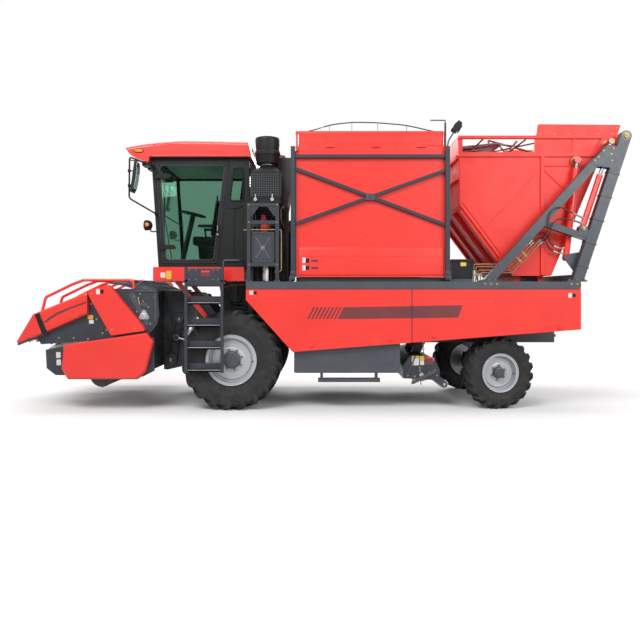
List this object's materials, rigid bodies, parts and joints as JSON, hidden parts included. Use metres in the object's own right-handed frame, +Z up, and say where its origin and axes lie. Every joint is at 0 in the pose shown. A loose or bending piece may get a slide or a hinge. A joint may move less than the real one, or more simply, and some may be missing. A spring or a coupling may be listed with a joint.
{
  "type": "corn harvester",
  "caption": "Self-propelled corn harvester with a row-crop corn head, glazed cab, side-tipping ear bin, rear-tipping silage bin, stubble shredder and rear-wheel steering.",
  "frame": {"origin": "on the ground under the middle of the overall length and width", "axes": "+X along the machine towards its rear, -X is the driving direction, -Y is its left side, +Z up"},
  "size_m": [8.64, 2.64, 4.105],
  "materials": {
    "red_paint": "gloss",
    "grey_paint": "satin",
    "dark_paint": "satin",
    "engine_iron": "matte",
    "cab_black": "satin",
    "cab_glass": "gloss",
    "seat_fabric": "matte",
    "lamp_lens": "gloss",
    "moulded_plastic": "matte",
    "bare_steel": "satin",
    "chrome_rod": "gloss",
    "tyre_rubber": "matte",
    "rim_paint": "satin"
  },
  "bodies": {
    "machine": {"chassis_frame": "grey_paint", "deck": "grey_paint", "side_skirts": "red_paint", "side_tanks": "dark_paint", "husking_bed": "dark_paint", "engine": "engine_iron", "front_axle": "dark_paint", "rear_axle": "dark_paint", "cab_base": "red_paint", "cab_frame": "cab_black", "cab_panels": "cab_black", "cab_glazing": "cab_glass", "cab_roof": "red_paint", "cab_seat": "seat_fabric", "steering_column": "cab_black", "cab_console": "cab_black", "mirrors": "cab_black", "lamps": "lamp_lens", "ladder": "grey_paint", "tank_stand": "grey_paint", "reserve_tank": "moulded_plastic", "air_intake": "moulded_plastic", "ear_elevator": "dark_paint", "mast": "grey_paint", "shredder_hood": "dark_paint"},
    "header": {"header_frame": "dark_paint", "snouts": "red_paint", "row_rolls": "bare_steel", "gathering_chains": "bare_steel", "side_guards": "red_paint", "feeder_house": "dark_paint"},
    "stalk_rotor": {"stalk_rotor": "bare_steel"},
    "cross_auger": {"cross_auger": "dark_paint"},
    "lift_barrels": {"lift_barrels": "red_paint"},
    "lift_rods": {"lift_rods": "chrome_rod"},
    "wheel_front_left": {"tyre_front_left": "tyre_rubber", "rim_front_left": "rim_paint"},
    "wheel_front_right": {"tyre_front_right": "tyre_rubber", "rim_front_right": "rim_paint"},
    "knuckle_left": {"knuckle_left": "dark_paint"},
    "knuckle_right": {"knuckle_right": "dark_paint"},
    "tie_rod": {"tie_rod": "bare_steel"},
    "wheel_rear_left": {"tyre_rear_left": "tyre_rubber", "rim_rear_left": "rim_paint"},
    "wheel_rear_right": {"tyre_rear_right": "tyre_rubber", "rim_rear_right": "rim_paint"},
    "door": {"cab_door": "cab_black", "door_glass": "cab_glass"},
    "ear_bin": {"ear_bin": "red_paint", "bin_frame": "grey_paint"},
    "ear_flap": {"ear_flap": "red_paint"},
    "silage_bin": {"silage_bin": "red_paint"},
    "tip_barrels": {"tip_barrels": "red_paint"},
    "tip_rods": {"tip_rods": "chrome_rod"},
    "crank_barrels": {"crank_barrels": "red_paint"},
    "crank_rods": {"crank_rods": "chrome_rod"},
    "shredder_rotor": {"shredder_rotor": "bare_steel"},
    "shredder_roller": {"shredder_roller": "bare_steel"}
  },
  "joints": [
    {"name": "header_lift", "type": "hinge", "parent": "machine", "child": "header", "pos_m": [-1.98, 0, 1.56], "axis": [0, 1, 0], "range_deg": [-12, 8]},
    {"name": "lift_swing", "type": "hinge", "parent": "machine", "child": "lift_barrels", "pos_m": [-1.64, 0, 0.82], "axis": [0, 1, 0], "range_deg": [-2.04, 1.46]},
    {"name": "lift_extend", "type": "slide", "parent": "lift_barrels", "child": "lift_rods", "axis": [-0.9673, 0, 0.2537], "range_m": [-0.1351, 0.091]},
    {"name": "stalk_rotor_spin", "type": "hinge", "parent": "header", "child": "stalk_rotor", "pos_m": [-3.15, 0, 0.5], "axis": [0, 1, 0], "continuous": true},
    {"name": "auger_spin", "type": "hinge", "parent": "header", "child": "cross_auger", "pos_m": [-2.76, 0, 1.33], "axis": [0, 1, 0], "continuous": true},
    {"name": "wheel_front_left_spin", "type": "hinge", "parent": "machine", "child": "wheel_front_left", "pos_m": [-1.33, -0.995, 0.705], "axis": [0, 1, 0], "continuous": true},
    {"name": "wheel_front_right_spin", "type": "hinge", "parent": "machine", "child": "wheel_front_right", "pos_m": [-1.33, 0.995, 0.705], "axis": [0, 1, 0], "continuous": true},
    {"name": "steer_left", "type": "hinge", "parent": "machine", "child": "knuckle_left", "pos_m": [2.425, -0.7, 0.512], "axis": [0, 0, 1], "range_deg": [-45, 25]},
    {"name": "steer_right", "type": "hinge", "parent": "machine", "child": "knuckle_right", "pos_m": [2.425, 0.7, 0.512], "axis": [0, 0, 1], "range_deg": [-45, 25]},
    {"name": "tie_rod_slide", "type": "slide", "parent": "machine", "child": "tie_rod", "axis": [0, 1, 0], "range_m": [-0.134, 0.075]},
    {"name": "wheel_rear_left_spin", "type": "hinge", "parent": "knuckle_left", "child": "wheel_rear_left", "pos_m": [2.46494, -0.92651, 0.512], "axis": [-0.1736, 0.9848, 0], "continuous": true},
    {"name": "wheel_rear_right_spin", "type": "hinge", "parent": "knuckle_right", "child": "wheel_rear_right", "pos_m": [2.38506, 0.92651, 0.512], "axis": [-0.1736, 0.9848, 0], "continuous": true},
    {"name": "door_swing", "type": "hinge", "parent": "machine", "child": "door", "pos_m": [-2.43233, -0.84, 2.76], "axis": [0.0657, 0, -0.9978], "range_deg": [0, 75]},
    {"name": "ear_bin_tip", "type": "hinge", "parent": "machine", "child": "ear_bin", "pos_m": [0.62, -1.2, 1.855], "axis": [1, 0, 0], "range_deg": [0, 55]},
    {"name": "ear_flap_swing", "type": "hinge", "parent": "ear_bin", "child": "ear_flap", "pos_m": [0.62, -1.162, 3.707], "axis": [1, 0, 0], "range_deg": [0, 90]},
    {"name": "silage_bin_tip", "type": "hinge", "parent": "machine", "child": "silage_bin", "pos_m": [4.245, 0, 3.873], "axis": [0, 1, 0], "range_deg": [0, 95]},
    {"name": "tip_swing", "type": "hinge", "parent": "machine", "child": "tip_barrels", "pos_m": [3.458, 0, 2.158], "axis": [0, 1, 0], "range_deg": [0, 6.32]},
    {"name": "tip_extend", "type": "slide", "parent": "tip_barrels", "child": "tip_rods", "axis": [0.1145, 0, 0.9934], "range_m": [0, 1.0146]},
    {"name": "crank_swing", "type": "hinge", "parent": "machine", "child": "crank_barrels", "pos_m": [3.642, 0, 2.568], "axis": [0, 1, 0], "range_deg": [0, 1.92]},
    {"name": "crank_extend", "type": "slide", "parent": "crank_barrels", "child": "crank_rods", "axis": [0.3162, 0, 0.9487], "range_m": [0, 0.3013]},
    {"name": "shredder_spin", "type": "hinge", "parent": "machine", "child": "shredder_rotor", "pos_m": [1.37, 0, 0.48], "axis": [0, 1, 0], "continuous": true},
    {"name": "roller_spin", "type": "hinge", "parent": "machine", "child": "shredder_roller", "pos_m": [1.696, 0, 0.343], "axis": [0, 1, 0], "continuous": true}
  ],
  "couplings": [
    {"joint": "lift_swing", "follows": "header_lift", "ratio": 0.14514},
    {"joint": "lift_extend", "follows": "header_lift", "m_per_rad": 0.63059},
    {"joint": "steer_right", "follows": "steer_left", "ratio": 1},
    {"joint": "tie_rod_slide", "follows": "steer_left", "m_per_rad": 0.169},
    {"joint": "tip_swing", "follows": "silage_bin_tip", "ratio": 0.064391},
    {"joint": "tip_extend", "follows": "silage_bin_tip", "m_per_rad": 0.60889},
    {"joint": "crank_swing", "follows": "silage_bin_tip", "ratio": 0.018064},
    {"joint": "crank_extend", "follows": "silage_bin_tip", "m_per_rad": 0.17871}
  ]
}
